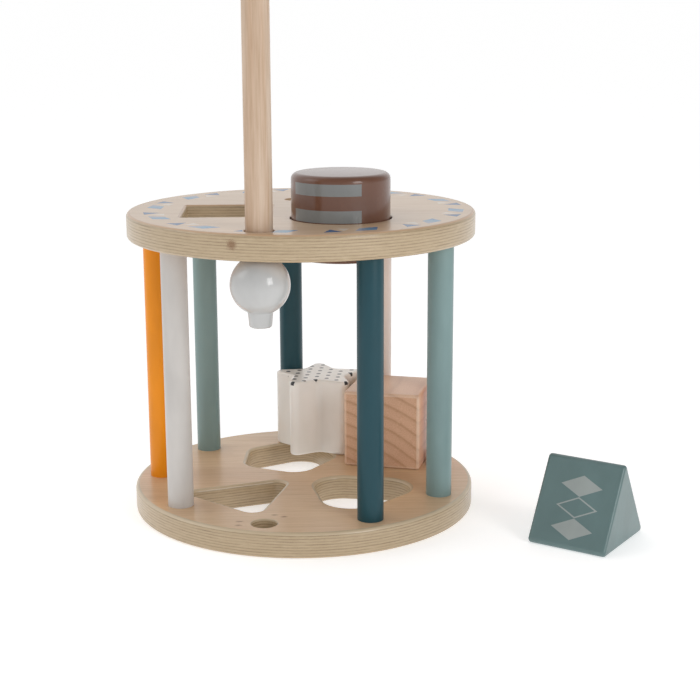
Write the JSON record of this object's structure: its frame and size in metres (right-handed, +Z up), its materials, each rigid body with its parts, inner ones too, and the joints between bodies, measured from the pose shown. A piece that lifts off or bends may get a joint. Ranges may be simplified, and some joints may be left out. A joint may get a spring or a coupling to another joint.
{
  "type": "wooden shape sorter",
  "caption": "Round wooden shape sorter: two plywood discs joined by painted dowels, a sliding gate rod with a stop ball, and loose shape blocks.",
  "frame": {"origin": "centre of the bottom disc's underside, on the surface that the toy stands on", "axes": "+Z up, -Y towards the front, where the gate rod is, +X to the right seen from the front"},
  "size_m": [0.2393, 0.1701, 0.2603],
  "materials": {
    "plywood": "satin lacquered birch plywood",
    "natural_dowel": "satin",
    "natural_block": "raw sanded",
    "orange_paint": "satin paint",
    "blush_paint": "satin paint",
    "teal_paint": "satin paint",
    "sage_paint": "satin paint",
    "white_paint": "satin paint",
    "ball_paint": "gloss paint",
    "brown_paint": "gloss paint",
    "cream_paint": "satin paint",
    "block_teal_paint": "satin paint"
  },
  "bodies": {
    "cage": {"bottom_disc": "plywood", "top_disc": "plywood", "dowel_orange_right": "orange_paint", "dowel_blush_back": "blush_paint", "dowel_teal_back": "teal_paint", "dowel_sage_back": "sage_paint", "dowel_orange_left": "orange_paint", "dowel_white_front": "white_paint", "dowel_teal_front": "teal_paint", "dowel_sage_right": "sage_paint"},
    "gate": {"gate_rod": "natural_dowel", "gate_knob": "ball_paint"},
    "round_piece": {"round_block": "brown_paint"},
    "star_piece": {"star_block": "cream_paint"},
    "cube_piece": {"cube_block": "natural_block"},
    "triangle_piece": {"triangle_block": "block_teal_paint"}
  },
  "joints": [
    {"name": "gate_slide", "type": "slide", "parent": "cage", "child": "gate", "axis": [0, 0, 1], "range_m": [-0.097, 0]},
    {"name": "round_drop", "type": "slide", "parent": "cage", "child": "round_piece", "axis": [0, 0, 1], "range_m": [-0.114, 0.05]},
    {"name": "star_lift", "type": "slide", "parent": "cage", "child": "star_piece", "axis": [0, 0, 1], "range_m": [0, 0.08]},
    {"name": "cube_lift", "type": "slide", "parent": "cage", "child": "cube_piece", "axis": [0, 0, 1], "range_m": [0, 0.08]},
    {"name": "triangle_lift", "type": "slide", "parent": "cage", "child": "triangle_piece", "axis": [0, 0, 1], "range_m": [0, 0.12]}
  ]
}
